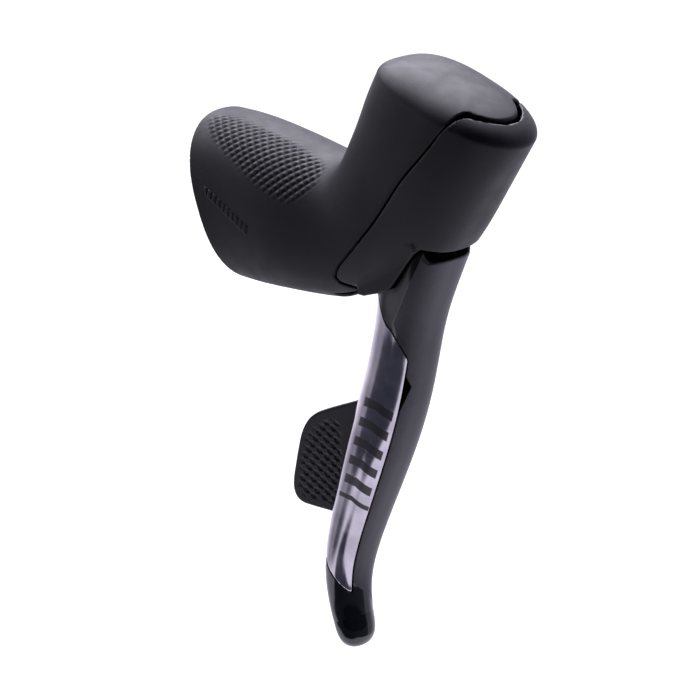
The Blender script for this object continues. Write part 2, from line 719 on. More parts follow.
def shade_of_blade(pts):
    """1 under the cover's edge and on the wedge beside the panel, part way on the root's side."""
    loc = blade_local(pts)
    angle, station = blade_angle(loc), loc.station
    gloss = step(-0.1, 0.3, gloss_of(pts))
    neck = step(0.30, 0.95, -blade_skin(pts, loc)) * step(-4.6, -2.4, pts[:, 2])
    wedge = (gloss * step(293, 303, angle) * step(353, 347, angle) *
             step(1.7, 1.9, station) * step(3.6, 3.4, station))
    root = 0.55 * gloss * step(1.9, 1.6, station) * (pts[:, 1] < 0)
    return np.maximum(np.maximum(neck, wedge), root)


# ------------------------------------------------------------------ shift paddle
# side-view outlines x, z
PADDLE_THICK = 2.2
PADDLE_OUTLINE = fair([
    (58.6, -49.6), (54.6, -52.2), (50.7, -53.8), (47.6, -55.2), (44.6, -56.5), (42.0, -57.7),
    (39.4, -59.1), (37.3, -61.0), (35.6, -63.7), (34.3, -67.0), (33.1, -71.8), (31.8, -77.7),
    (30.8, -82.9), (30.6, -86.1), (31.2, -88.9), (32.6, -90.6), (35.1, -91.5), (38.1, -92.2),
    (41.0, -92.8), (46.0, -93.4), (50.0, -93.0), (53.2, -90.0), (56.4, -80.0), (59.4, -67.0),
    (60.6, -56.0), (60.2, -50.5)], closed=True, steps=4)
DIMPLES = [
    (35.2, -67.6), (37.7, -64.0), (40.5, -61.6), (43.6, -60.2), (45.9, -62.3), (45.6, -69.5),
    (45.0, -80.0), (43.0, -90.4), (37.1, -89.6), (33.3, -88.7), (31.9, -85.8), (31.9, -82.3),
    (33.2, -75.3)]
DIMPLE_DEPTH = 0.40
PADDLE_ARM = [
    (65.4, -5.8), (70.2, -4.9), (70.9, -15.0), (64.2, -45.0), (61.0, -58.0), (58.5, -66.0),
    (54.0, -64.0), (58.9, -43.8), (64.2, -16.0)]


def paddle_mid(x, z):
    """Y of the paddle's middle surface, which sweeps outboard towards the rear."""
    back = np.maximum(56.8 + (z + 48.0) * 0.222 - x, 0)
    return -0.5 - 0.62 * (back - 4.0 * (1.0 - np.exp(-back / 4.0)))


def paddle_field(pts, detail=True):
    x, y, z = pts.T
    side = (y - paddle_mid(x, z)) / 1.12
    dist = meet(np.abs(side) - PADDLE_THICK / 2, polygon(x, z, PADDLE_OUTLINE), 0.75)
    if detail:
        u, v = (x + 0.18 * z) / 2.9, z / 4.0
        centre = np.abs(u + v - np.round(u + v)) + np.abs(u - v - np.round(u - v))
        pit = step(0.66, 0.16, centre) * step(0.0, 1.6, -polygon(x, z, DIMPLES))
        dist = dist + DIMPLE_DEPTH * pit * (side < 0)
    dist = join(dist, prism(pts, PADDLE_ARM, -1.2, 1.8, 0.4), 0.5)
    dist = cut(dist, box(pts, along_line(PADDLE_PIN, 5.6), (3.0, 8, 4.2), DEPTH), 0.2)
    dist = join(dist, rod(pts, PADDLE_PIN, 2.25, -3.1, 2.55, 0.25), 0.3)
    return cut(dist, rod(pts, PADDLE_PIN, 1.25, -8, 8), 0.1)


# ------------------------------------------------------------------ housing and clamp
# side-view outlines x, z
LOWER_POCKET = [
    (49.6, -60), (49.6, -13.6), (52.6, -8.2), (57.6, -3.8), (64, -1.6), (72, 1.4), (84, 3.0),
    (96, 4.4), (96, -60)]
UPPER_POCKET = [
    (52.6, -12), (55.5, 4), (60, 13), (64, 17.5), (70, 20), (83, 18.2), (88.5, 14), (90, 4),
    (96, 3), (96, -12)]


def bar_axes(pts):
    rel = pts - BAR_AT
    return rel @ BAR_OUT, pts[:, 1], rel @ BAR_ALONG


def bar_box(pts, out0, out1, y0, y1, half_length):
    out, y, along = bar_axes(pts)
    sides = np.maximum(slab(out, out0, out1), slab(y, y0, y1))
    return np.maximum(sides, slab(along, -half_length, half_length))


def horn_pocket(pts):
    """Round-cornered pocket sunk from the top of the horn."""
    half_length, half_width, depth, corner = 10.5, 9.5, 16.0, 3.5
    rel = pts - np.array((84.0, 0.0, 39.5))
    u = np.abs(rel @ np.array((0.9540, 0.0, -0.2998))) - half_length + corner
    v = np.abs(rel[:, 1]) - half_width + corner
    sides = np.hypot(np.maximum(u, 0), np.maximum(v, 0)) + np.minimum(np.maximum(u, v), 0)
    return meet(sides - corner, slab(rel @ np.array((0.2998, 0.0, 0.9540)), 0.0, depth), 0.0)


def bar_channel(pts):
    """The bent bar, over 58 degrees of its bend either way."""
    out, y, along = bar_axes(pts)
    bar = np.hypot(np.hypot(out + BEND_R, along) - BEND_R, y) - CHANNEL_R
    inside = np.abs(np.arctan2(along, out + BEND_R)) < math.radians(58)
    return np.where(inside, bar, np.maximum(bar, 5.0))


def housing_field(pts):
    x, y, z = pts.T
    loc = hood_local(pts)
    dist = meet(skin(loc, CORE_INSET), behind(pts) + 4.5, 0.5)
    dist = cut(dist, np.maximum(polyline(x, z, SPLIT) - 2.0, -(skin(loc) + 5.0)), 0.3)
    dist = cut(dist, bar_channel(pts), 0.5)
    dist = np.minimum(dist, bar_box(pts, BAR_R, BAR_R + 3.0, -3.5, 3.5, 7.0))
    for tool in (
            # pockets for the clamp band's two ends, its pin and its bolt
            bar_box(pts, -24, 9.0, -30, -11.7, 5.9), bar_box(pts, 7.6, 18.6, -30, -7.6, 5.9),
            bar_box(pts, -24, 9.0, 11.7, 30, 5.9), bar_box(pts, 5.3, 13.6, 8.7, 30, 5.9),
            rod(pts, HOOK, 2.25, -8.4, 8.4),
            rod(pts, BOLT, 2.4, 4, 9), rod(pts, BOLT, 3.9, 7.9, 30),
            # room for the lever and its pivot
            np.maximum(polygon(x, z, BELOW_EDGE), np.abs(y) - 40),
            prism(pts, LOWER_POCKET, -11.5, 11.5), prism(pts, UPPER_POCKET, -10.3, 10.3),
            rod(pts, PIVOT, 3.2, -12.9, 12.9),
            # cylinder bore, pocket in the horn, battery, button and light
            rod(pts, CYLINDER, 7.3, 4.0, 27.4), horn_pocket(pts),
            rod(pts, BATTERY, 12.9, 2.0, 30), rod(pts, BUTTON, 4.5, 9.2, 30),
            rod(pts, LIGHT, 1.6, 11.5, 30),
            # hose and its nut
            rod(pts, HOSE, 2.7, -3.2, 3.4), rod(pts, HOSE, 4.5, 3.2, 50)):
        dist = cut(dist, tool, 0.35)
    return dist


# out from the bar's middle, y: behind the bar from the bolt's side round to the hook's
STRAP_TURNS = [math.radians(-90 - 180 * i / 36) for i in range(37)]
STRAP = ([(9.15, -STRAP_R), (4.0, -STRAP_R)] +
         [(STRAP_R * math.cos(turn), STRAP_R * math.sin(turn)) for turn in STRAP_TURNS] +
         [(3.0, STRAP_R), (6.4, STRAP_R)])


def strap_field(pts):
    out, y, along = bar_axes(pts)
    width = slab(along, -STRAP_WIDTH / 2, STRAP_WIDTH / 2)
    dist = meet(polyline(out, y, STRAP) - 0.6, width, 0.35)
    for line, inner, outer in ((EYE, 3.4, 4.4), (HOOK, 2.4, 3.5)):
        away, reach = axial(pts, line)
        dist = join(dist, meet(slab(away, inner, outer), width, 0.3), 0.5)
        dist = np.maximum(dist, -np.maximum(away - inner, np.abs(reach) - 6))
    return cut(dist, rod(pts, BOLT, 2.4, -8, 8), 0.2)


def bolt_field(pts):
    _, along = axial(pts, BOLT)
    thread = 0.13 * np.cos(2 * math.pi * along / 0.8) * step(6.5, 5.5, along)
    dist = rod(pts, BOLT, 2.0, -5.0, 9.0, 0.3) + 0.13 + thread
    dist = join(dist, rod(pts, BOLT, 3.4, 8.2, 11.9, 0.45), 0.2)
    return cut(dist, hex_rod(pts, BOLT, 1.9, 9.8, 20), 0.15)


def nut_field(pts):
    return cut(rod(pts, EYE, 3.05, -5.2, 5.2, 0.5), rod(pts, BOLT, 2.2, -6, 6), 0.2)


def hook_pin_field(pts):
    return rod(pts, HOOK, 2.0, -8.0, 8.0, 0.4)


def hose_field(pts):
    bore = axial(pts, HOSE)[0] - HOSE_BORE
    return cut(rod(pts, HOSE, 2.5, 0.0, HOSE_LENGTH, 0.3), bore, 0.1)


def hose_nut_field(pts):
    away, along = axial(pts, HOSE)
    thread = 0.16 * (0.5 + 0.5 * np.cos(2 * math.pi * along)) * step(14.5, 14.0, along)
    dist = rod(pts, HOSE, 3.9, 7.6, 16.0, 0.4) + thread
    head = meet(hex_rod(pts, HOSE, 4.2, 15.0, 20.0, 0.3), rod(pts, HOSE, 4.15, 14, 21, 0.6), 0.1)
    return cut(join(dist, head, 0.1), away - 2.75, 0.25)


def button_field(pts):
    """Cap with a dished middle and a fine ring groove, on a stem."""
    away, along = axial(pts, BUTTON)
    top = step(16.5, 17.0, along)
    dist = rod(pts, BUTTON, 4.1, 14.0, 17.8, 0.7) + 0.30 * step(2.6, 1.2, away) * top
    dist = dist + 0.12 * step(0.28, 0.10, np.abs(away - 3.15)) * top
    return join(dist, rod(pts, BUTTON, 1.6, 12.6, 14.5, 0.2), 0.2)


def light_field(pts):
    away, along = axial(pts, LIGHT)
    return meet(away - 1.3, slab(along + 0.12 * away * away / 1.7, 12.0, 16.6), 0.3)


# ------------------------------------------------------------------ meshing
def sample(field, low, high, pitch):
    """Field on a grid; away from the surface whole 4 x 4 x 4 blocks share one value."""
    low = np.asarray(low, float)
    counts = np.ceil((np.asarray(high, float) - low) / (4 * pitch)).astype(int)
    axes = [low[k] + (np.arange(counts[k]) * 4 + 1.5) * pitch for k in range(3)]
    centres = np.stack(np.meshgrid(*axes, indexing="ij"), -1).reshape(-1, 3)
    values = np.concatenate([field(centres[i:i + 200000])
                             for i in range(0, len(centres), 200000)])
    live = np.nonzero(np.abs(values) < 5.6 * pitch)[0]
    block = [(np.arange(4) - 1.5) * pitch] * 3
    block = np.stack(np.meshgrid(*block, indexing="ij"), -1).reshape(-1, 3)
    grid = np.repeat(values[:, None], 64, 1)
    for i in range(0, len(live), 3000):
        part = live[i:i + 3000]
        pts = (centres[part][:, None, :] + block).reshape(-1, 3)
        grid[part] = field(pts).reshape(-1, 64)
    grid = grid.reshape(*counts, 4, 4, 4).transpose(0, 3, 1, 4, 2, 5)
    return grid.reshape(*(counts * 4))


def nets(grid, low, pitch):
    """Points and quads round the zero level of a grid."""
    inside = grid < 0
    size = np.array(grid.shape) - 1
    corners = [(i, j, k) for i in (0, 1) for j in (0, 1) for k in (0, 1)]
    count = sum(inside[i:i + size[0], j:j + size[1], k:k + size[2]].astype(np.int8)
                for i, j, k in corners)
    cell = np.argwhere((count > 0) & (count < 8))
    index = np.full(size, -1, np.int64)
    index[tuple(cell.T)] = np.arange(len(cell))
    value = np.stack([grid[tuple((cell + corner).T)] for corner in corners], 1)
    total, hits = np.zeros((len(cell), 3)), np.zeros(len(cell))
    for i in range(8):
        for j in range(i + 1, 8):
            start, end = np.array(corners[i], float), np.array(corners[j], float)
            if np.abs(start - end).sum() != 1:
                continue
            crossed = (value[:, i] < 0) != (value[:, j] < 0)
            drop = np.where(crossed, value[:, i] - value[:, j], 1)
            t = np.where(crossed, value[:, i] / drop, 0)[:, None]
            total += np.where(crossed[:, None], start + t * (end - start), 0)
            hits += crossed
    verts = low + (cell + total / hits[:, None]) * pitch
    quads = []
    for k in range(3):
        i, j = (k + 1) % 3, (k + 2) % 3
        first = np.take(inside, range(0, grid.shape[k] - 1), k)
        second = np.take(inside, range(1, grid.shape[k]), k)
        edge = np.argwhere(first != second)
        edge = edge[(edge[:, i] > 0) & (edge[:, j] > 0) &
                    (edge[:, i] < size[i]) & (edge[:, j] < size[j])]
        di, dj = np.eye(3, dtype=int)[i], np.eye(3, dtype=int)[j]
        quad = np.stack([index[tuple((edge - s).T)] for s in (di * 0, di, di + dj, dj)], 1)
        flip = ~first[tuple(edge.T)]
        quad[flip] = quad[flip][:, ::-1]
        quads.append(quad)
    quads = np.concatenate(quads)
    return verts, quads[(quads >= 0).all(1)]


def gradient(field, pts, reach):
    out = np.empty_like(pts)
    for k in range(3):
        shift = np.zeros(3)
        shift[k] = reach
        out[:, k] = (field(pts + shift) - field(pts - shift)) / (2 * reach)
    return out


def normals_of(field, pts, reach):
    out = gradient(field, pts, reach)
    return out / np.maximum(np.linalg.norm(out, axis=1), 1e-6)[:, None]


def settle(field, pts, rounds, reach):
    """Points moved on to the surface, each time by no more than reach."""
    for _ in range(rounds):
        value = field(pts)
        grad = gradient(field, pts, 0.02)
        move = -(value / np.maximum((grad ** 2).sum(1), 0.2))[:, None] * grad
        size = np.linalg.norm(move, axis=1)[:, None]
        pts = pts + move * np.minimum(1, reach / np.maximum(size, 1e-9))
    return pts


def edge_mean(edges, count, for_first, for_second):
    """Mean at each point of the values its edges bring to their first and second ends."""
    total = np.zeros((count,) + for_first.shape[1:])
    hits = np.zeros(count)
    for end, values in enumerate((for_first, for_second)):
        np.add.at(total, edges[:, end], values)
        np.add.at(hits, edges[:, end], 1)
    return (total.T / np.maximum(hits, 1)).T


def spread(pts, edges, normals):
    """Points moved half way to their neighbours' mean, along the surface only."""
    move = edge_mean(edges, len(pts), pts[edges[:, 1]], pts[edges[:, 0]]) - pts
    move -= (move * normals).sum(1)[:, None] * normals
    return pts + move * 0.5


def wear_of(pts, normals, edges):
    """Outward curvature per point, per millimetre."""
    span = pts[edges[:, 1]] - pts[edges[:, 0]]
    turn = ((normals[edges[:, 1]] - normals[edges[:, 0]]) * span).sum(1)
    bend = turn / np.maximum((span ** 2).sum(1), 1e-6)
    return np.clip(edge_mean(edges, len(pts), bend, bend), -2, 2)


def subdivide(pts, quads, hot):
    """Edges split once where both of their ends are hot; gives points, faces and edges."""
    mesh = bpy.data.meshes.new("work")
    mesh.from_pydata(pts.tolist(), [], quads.tolist())
    bm = bmesh.new()
    bm.from_mesh(mesh)
    bpy.data.meshes.remove(mesh)
    bm.verts.ensure_lookup_table()
    chosen = hot(np.array([v.co[:] for v in bm.verts]))
    split = [e for e in bm.edges if chosen[e.verts[0].index] and chosen[e.verts[1].index]]
    bmesh.ops.subdivide_edges(bm, edges=split, cuts=1, use_grid_fill=True)
    bm.verts.index_update()
    pts = np.array([v.co[:] for v in bm.verts])
    faces = [[v.index for v in f.verts] for f in bm.faces]
    edges = np.array([[v.index for v in e.verts] for e in bm.edges])
    bm.free()
    return pts, faces, edges


def build_mesh(name, pts, faces):
    """Mesh in metres about SEAT; faces are an array of quads or lists of any length."""
    mesh = bpy.data.meshes.new(name)
    pts = (pts - SEAT) * MM
    if isinstance(faces, np.ndarray):
        mesh.vertices.add(len(pts))
        mesh.vertices.foreach_set("co", pts.astype(np.float32).ravel())
        mesh.loops.add(faces.size)
        mesh.loops.foreach_set("vertex_index", faces.astype(np.int32).ravel())
        mesh.polygons.add(len(faces))
        starts = np.arange(0, faces.size, faces.shape[1], dtype=np.int32)
        mesh.polygons.foreach_set("loop_start", starts)
        mesh.update(calc_edges=True)
    else:
        mesh.from_pydata(pts.tolist(), [], faces)
    mesh.validate()
    mesh.shade_smooth()
    return mesh


def carve(name, field, low, high, pitch, body, slot, node, plain=None, refine=None, shades=None):
    """A closed piece from a field; plain is the field without its fine relief."""
    plain = plain or field
    pts, faces = nets(sample(plain, low, high, pitch), low, pitch)
    pts = settle(plain, pts, 2, pitch)
    edges = np.concatenate([faces[:, [i, (i + 1) % 4]] for i in range(4)])
    edges = np.unique(np.sort(edges, 1), axis=0)
    for _ in range(2):
        pts = spread(pts, edges, normals_of(plain, pts, 0.05))
        pts = settle(plain, pts, 1, pitch)
    if refine:
        pts, faces, edges = subdivide(pts, faces, refine)
    pts = settle(field, pts, 2, pitch / 2)
    normals = normals_of(field, pts, 0.04)

    mesh = build_mesh(name, pts, faces)
    values = {"wear": wear_of(pts, normals, edges)}
    for key, shade in (shades or {}).items():
        values[key] = shade(pts)
    for key, value in values.items():
        layer = mesh.attributes.new(key, "FLOAT", "POINT")
        layer.data.foreach_set("value", value.astype(np.float32))
    mesh.normals_split_custom_set_from_vertices(normals.tolist())
    mesh.materials.append(MATERIALS[slot])
    ob = bpy.data.objects.new(name, mesh)
    bpy.context.scene.collection.objects.link(ob)
    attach(ob, body)
    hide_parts(node)


# ------------------------------------------------------------------ shader helpers
class Nodes:
    """Helper over a node tree; an input takes a value or another node's output."""

    def __init__(self, tree):
        self.tree = tree

    def put(self, node, socket, value):
        if isinstance(value, bpy.types.NodeSocket):
            self.tree.links.new(value, node.inputs[socket])
        else:
            node.inputs[socket].default_value = value

    def new(self, kind, inputs=None, **settings):
        node = self.tree.nodes.new("ShaderNode" + kind)
        for key, value in settings.items():
            setattr(node, key, value)
        for socket, value in (inputs or {}).items():
            self.put(node, socket, value)
        return node

    def math(self, operation, a, b=0.0, third=0.0):
        """Third is an input these operations ignore."""
        return self.new("Math", {0: a, 1: b, 2: third}, operation=operation).outputs[0]

    def ramp(self, value, start, end, low=0.0, high=1.0):
        """Smooth change from low to high as value goes from start to end."""
        inputs = {"Value": value, "From Min": start, "From Max": end, "To Min": low,
                  "To Max": high}
        return self.new("MapRange", inputs, interpolation_type="SMOOTHSTEP").outputs[0]

    def mix(self, factor, a, b):
        """Colour mix."""
        a, b = [(*c, 1.0) if isinstance(c, tuple) else c for c in (a, b)]
        return self.new("Mix", data_type="RGBA", inputs={0: factor, 6: a, 7: b}).outputs[2]

    def blend(self, factor, a, b):
        """Number mix."""
        return self.new("Mix", {0: factor, 2: a, 3: b}).outputs[0]


class Material(Nodes):
    """A new material; patterns lie in object space and their scales are per metre."""

    def __init__(self, name, colour):
        self.mat = bpy.data.materials.new(name)
        self.mat.use_nodes = True
        self.mat.diffuse_color = (*colour, 1)
        super().__init__(self.mat.node_tree)
        self.coords = self.new("TexCoord").outputs["Object"]

    def set(self, **inputs):
        """Inputs of the surface shader, with underscores for spaces."""
        for socket, value in inputs.items():
            self.put(self.tree.nodes["Principled BSDF"], socket.replace("_", " "), value)

    def scaled(self, scale):
        scale = scale if isinstance(scale, tuple) else (scale,) * 3
        return self.new("Mapping", {"Vector": self.coords, "Scale": scale}).outputs["Vector"]

    def noise(self, scale, detail, rough=0.55):
        return self.new("TexNoise", {"Vector": self.scaled(scale), "Scale": 1.0,
                                     "Detail": detail, "Roughness": rough}).outputs["Fac"]

    def cells(self, scale):
        inputs = {"Vector": self.scaled(scale), "Scale": 1.0}
        return self.new("TexVoronoi", inputs).outputs["Distance"]

    def attr(self, name):
        return self.new("Attribute", attribute_name=name).outputs["Fac"]

    def bump(self, height, strength, distance):
        inputs = {"Strength": strength, "Distance": distance, "Height": height}
        self.set(Normal=self.new("Bump", inputs).outputs["Normal"])


# ------------------------------------------------------------------ materials
HIDDEN = (0.0010, 0.0010, 0.0012)  # colour deep in the gaps


def moulded(name, dark, light, rough, grain, depth, worn=None, worn_rough=None, spec=0.5,
            coat=0.0):
    """Rubber or moulded plastic: pebbled grain, slow mottling and worn edges.

    worn is the colour of the worn edges and its strength; grain and depth are in metres.
    """
    m = Material(name, dark)
    slow = m.noise(1 / 0.006, detail=4, rough=0.6)
    fine = m.noise(1 / grain, detail=2, rough=0.6)
    pebble = m.cells(0.7 / grain)
    base = m.mix(m.ramp(slow, 0.35, 0.65), dark, light)
    specks = m.math("MULTIPLY", m.ramp(fine, 0.45, 0.7), 0.35)
    base = m.mix(specks, base, tuple(c * 1.5 for c in light))
    roughness = m.math("ADD", m.ramp(slow, 0.3, 0.7, *rough), m.ramp(fine, 0.3, 0.7, -0.04, 0.04))
    if worn:
        colour, strength = worn
        edge = m.ramp(m.attr("wear"), 0.35, 1.1)
        patches = m.ramp(m.noise(1 / 0.0016, detail=4, rough=0.65), 0.38, 0.62)
        patchy = m.math("MULTIPLY", edge, patches)
        base = m.mix(m.math("MULTIPLY", patchy, strength), base, colour)
        if worn_rough:
            roughness = m.blend(m.math("MULTIPLY", edge, 0.7), roughness, worn_rough)
    hidden = m.attr("hidden")
    m.set(Base_Color=m.mix(hidden, base, HIDDEN),
          Roughness=m.math("MAXIMUM", roughness, m.math("MULTIPLY", hidden, 0.9)),
          Specular_IOR_Level=m.math("MULTIPLY", m.math("SUBTRACT", 1.0, hidden), spec))
    if coat:
        m.set(Coat_Weight=coat, Coat_Roughness=0.12)
    height = m.math("ADD", m.math("MULTIPLY", pebble, 0.7), m.math("MULTIPLY", fine, 0.6))
    m.bump(height, strength=0.6, distance=depth)
    return m.mat


def metal(name, dark, light, rough, spots=0.25):
    """Turned or drawn metal: fine lines, tarnish spots and bright worn edges."""
    m = Material(name, light)
    lines = m.noise((1 / 0.00012, 1 / 0.00012, 1 / 0.004), detail=2, rough=0.5)
    slow = m.noise(1 / 0.004, detail=5, rough=0.65)
    base = m.mix(m.ramp(slow, 0.3, 0.7), dark, light)
    pits = m.ramp(m.noise(1 / 0.0007, detail=3, rough=0.7), 0.62, 0.75)
    base = m.mix(m.math("MULTIPLY", pits, spots), base, tuple(c * 0.45 for c in dark))
    edge = m.math("MULTIPLY", m.ramp(m.attr("wear"), 0.4, 1.2), 0.6)
    base = m.mix(edge, base, tuple(min(1.0, c * 1.35) for c in light))
    m.set(Base_Color=base, Metallic=1.0,
          Roughness=m.math("ADD", m.ramp(slow, 0.3, 0.7, *rough),
                           m.ramp(lines, 0.35, 0.65, -0.05, 0.06)))
    m.bump(lines, strength=0.35, distance=0.000006)
    return m.mat


def blade_material():
    """Satin lacquer on the front, clear gloss on the side and tip."""
    m = Material("blade_black", (0.012, 0.012, 0.016))
    slow = m.noise(1 / 0.007, detail=4, rough=0.6)
    fine = m.noise(1 / 0.00014, detail=2, rough=0.6)
    flake = m.cells(1 / 0.00022)
    gloss = m.ramp(m.attr("gloss"), -0.06, 0.06)
    mottle = m.ramp(slow, 0.35, 0.65)
    satin = m.mix(mottle, (0.0200, 0.0185, 0.0245), (0.0290, 0.0270, 0.0350))
    flakes = m.math("MULTIPLY", m.ramp(flake, 0.30, 0.05), 0.35)
    satin = m.mix(flakes, satin, (0.062, 0.058, 0.075))
    mottle = m.ramp(slow, 0.35, 0.65)
    deep = m.mix(mottle, (0.0032, 0.0032, 0.0042), (0.0050, 0.0050, 0.0062))
    base = m.mix(gloss, satin, deep)
    edge = m.math("MULTIPLY", m.ramp(m.attr("wear"), 0.5, 1.3),
                  m.ramp(m.noise(1 / 0.0014, detail=4, rough=0.65), 0.4, 0.62))
    base = m.mix(m.math("MULTIPLY", edge, 0.35), base, (0.060, 0.058, 0.068))
    hidden = m.attr("hidden")
    satin_rough = m.math("ADD", m.ramp(slow, 0.3, 0.7, 0.34, 0.41),
                         m.ramp(fine, 0.3, 0.7, -0.02, 0.02))
    smears = m.noise((1 / 0.0030, 1 / 0.0030, 1 / 0.012), detail=4, rough=0.6)
    m.set(Base_Color=m.mix(hidden, base, HIDDEN),
          Specular_IOR_Level=m.math("MULTIPLY", m.math("SUBTRACT", 1.0, hidden),
                                    m.ramp(gloss, 0.0, 1.0, 0.36, 0.5)),
          Roughness=m.blend(gloss, satin_rough, m.ramp(smears, 0.3, 0.7, 0.06, 0.12)),
          Coat_Weight=m.math("MULTIPLY", m.math("MULTIPLY", gloss, 0.8),
                             m.math("SUBTRACT", 1.0, hidden)),
          Coat_Roughness=0.05)
    grain = m.math("MULTIPLY", fine, m.ramp(m.attr("gloss"), -0.06, 0.06, 1.0, 0.12))
    m.bump(grain, strength=0.4, distance=0.000012)
    return m.mat


# dark bars on the panel: start and end along the blade in millimetres, left and right across
BARS = [(start, start + 3.0, 0.36, 0.92) for start in (51.0, 57.6, 64.2, 70.8, 77.4)]
BARS += [(84.0, 85.6, 0.30, 0.98)]
BAR_MIDDLE, BAR_LEAN, BAR_SHIFT, BAR_SOFT = 0.56, 5.2, 1.6, 0.12


def panel_material():
    """Polished plated panel with dark bars."""
    m = Material("trim_polished", (0.5, 0.47, 0.52))
    across, along = m.attr("across"), m.attr("along")
    bars = None
    for start, end, left, right in BARS:
        # each bar is a chevron: it leans one way up to the middle and the other way after it
        bend = m.math("ABSOLUTE", m.math("SUBTRACT", across, BAR_MIDDLE))
        bent = m.math("SUBTRACT", along, m.math("MULTIPLY", bend, BAR_LEAN))
        start, end = start - BAR_SHIFT, end - BAR_SHIFT
        length = m.math("MULTIPLY", m.ramp(bent, start, start + BAR_SOFT),
                        m.ramp(bent, end + BAR_SOFT, end))
        width = m.math("MULTIPLY", m.ramp(across, left, left + 0.01),
                       m.ramp(across, right, right - 0.01))
        bar = m.math("MULTIPLY", length, width)
        bars = bar if bars is None else m.math("MAXIMUM", bars, bar)
    slow = m.noise(1 / 0.009, detail=4)
    hair = m.noise((1 / 0.0005, 1 / 0.0005, 1 / 0.02), detail=3, rough=0.6)
    plate = m.mix(m.ramp(slow, 0.3, 0.7), (0.44, 0.405, 0.455), (0.60, 0.56, 0.62))
    edge = m.math("MULTIPLY", m.ramp(m.attr("wear"), 0.4, 1.4), 0.5)
    plate = m.mix(edge, plate, (0.78, 0.75, 0.80))
    ink = m.mix(m.ramp(slow, 0.3, 0.7), (0.020, 0.017, 0.023), (0.034, 0.029, 0.038))
    rough = m.math("ADD", m.ramp(slow, 0.3, 0.7, 0.07, 0.11), m.ramp(hair, 0.4, 0.75, 0.0, 0.035))
    m.set(Base_Color=m.mix(bars, plate, ink),
          Metallic=m.math("SUBTRACT", 1.0, m.math("MULTIPLY", bars, 0.9)),
          Roughness=m.blend(bars, rough, 0.30),
          Coat_Weight=0.35, Coat_Roughness=0.04)
    height = m.math("ADD", m.math("MULTIPLY", hair, 0.3), m.math("MULTIPLY", bars, 0.8))
    m.bump(height, strength=0.3, distance=0.00001)
    return m.mat


# keyed by name, which is also the name of the slot each one fills
MATERIALS = {mat.name.split(".")[0]: mat for mat in (
    moulded("hood_rubber", (0.0042, 0.0040, 0.0056), (0.0070, 0.0066, 0.0092),
            rough=(0.50, 0.60), grain=0.00026, depth=0.00005,
            worn=((0.030, 0.029, 0.036), 0.5), worn_rough=0.44, spec=0.22),
    moulded("cover_polymer", (0.0044, 0.0042, 0.0058), (0.0068, 0.0065, 0.0090),
            rough=(0.42, 0.50), grain=0.00018, depth=0.000022,
            worn=((0.034, 0.032, 0.042), 0.35), worn_rough=0.36, spec=0.24),
    moulded("housing_composite", (0.016, 0.016, 0.019), (0.030, 0.030, 0.034),
            rough=(0.45, 0.62), grain=0.0004, depth=0.00004, worn=((0.07, 0.07, 0.075), 0.5)),
    blade_material(),
    panel_material(),
    metal("steel", (0.33, 0.33, 0.34), (0.52, 0.52, 0.54), rough=(0.24, 0.36)),
    metal("spring_steel", (0.20, 0.20, 0.22), (0.34, 0.34, 0.36), rough=(0.28, 0.42)),
    metal("cylinder_alloy", (0.46, 0.47, 0.49), (0.62, 0.63, 0.65), rough=(0.28, 0.40)),
    metal("brass", (0.48, 0.34, 0.13), (0.66, 0.49, 0.21), rough=(0.24, 0.36)),
    moulded("bush_polymer", (0.16, 0.14, 0.08), (0.22, 0.19, 0.11),
            rough=(0.40, 0.52), grain=0.0002, depth=0.00002),
    moulded("seal_rubber", (0.012, 0.012, 0.012), (0.022, 0.021, 0.021),
            rough=(0.45, 0.62), grain=0.0003, depth=0.00003),
    moulded("bladder_rubber", (0.030, 0.030, 0.034), (0.050, 0.048, 0.052),
            rough=(0.50, 0.66), grain=0.0004, depth=0.00005),
    moulded("paddle_polymer", (0.0150, 0.0146, 0.0176), (0.0220, 0.0214, 0.0256),
            rough=(0.42, 0.54), grain=0.00016, depth=0.00003,
            worn=((0.045, 0.044, 0.052), 0.6), worn_rough=0.33),
    moulded("board_green", (0.010, 0.075, 0.035), (0.018, 0.120, 0.055),
            rough=(0.30, 0.42), grain=0.0003, depth=0.00001, coat=0.3),
    metal("cell_steel", (0.52, 0.53, 0.55), (0.68, 0.69, 0.71), rough=(0.20, 0.32), spots=0.1),
    moulded("button_rubber", (0.012, 0.012, 0.014), (0.020, 0.019, 0.023),
            rough=(0.42, 0.55), grain=0.0002, depth=0.00003, worn=((0.05, 0.05, 0.055), 0.5)),
    moulded("light_pipe", (0.060, 0.072, 0.070), (0.085, 0.098, 0.095),
            rough=(0.16, 0.26), grain=0.0003, depth=0.000008),
    moulded("hose_jacket", (0.010, 0.010, 0.012), (0.016, 0.016, 0.018),
            rough=(0.28, 0.40), grain=0.0003, depth=0.00002, spec=0.55),
)}


# ------------------------------------------------------------------ pieces
def grip_zone(pts):
    """The outer skin round the grip and the ribs, which needs a finer mesh."""
    loc = hood_local(pts)
    run, arc = hood_run_arc(loc)
    ribs = (polygon(run, arc, RIBS) < 1.0) & (pts[:, 1] < 0)
    return (np.abs(skin(loc)) < 0.7) & ((polygon(run, arc, GRIP) < 0.6) | ribs)


def dimple_zone(pts):
    x, y, z = pts.T
    return (polygon(x, z, DIMPLES) < 0.8) & (y < paddle_mid(x, z))


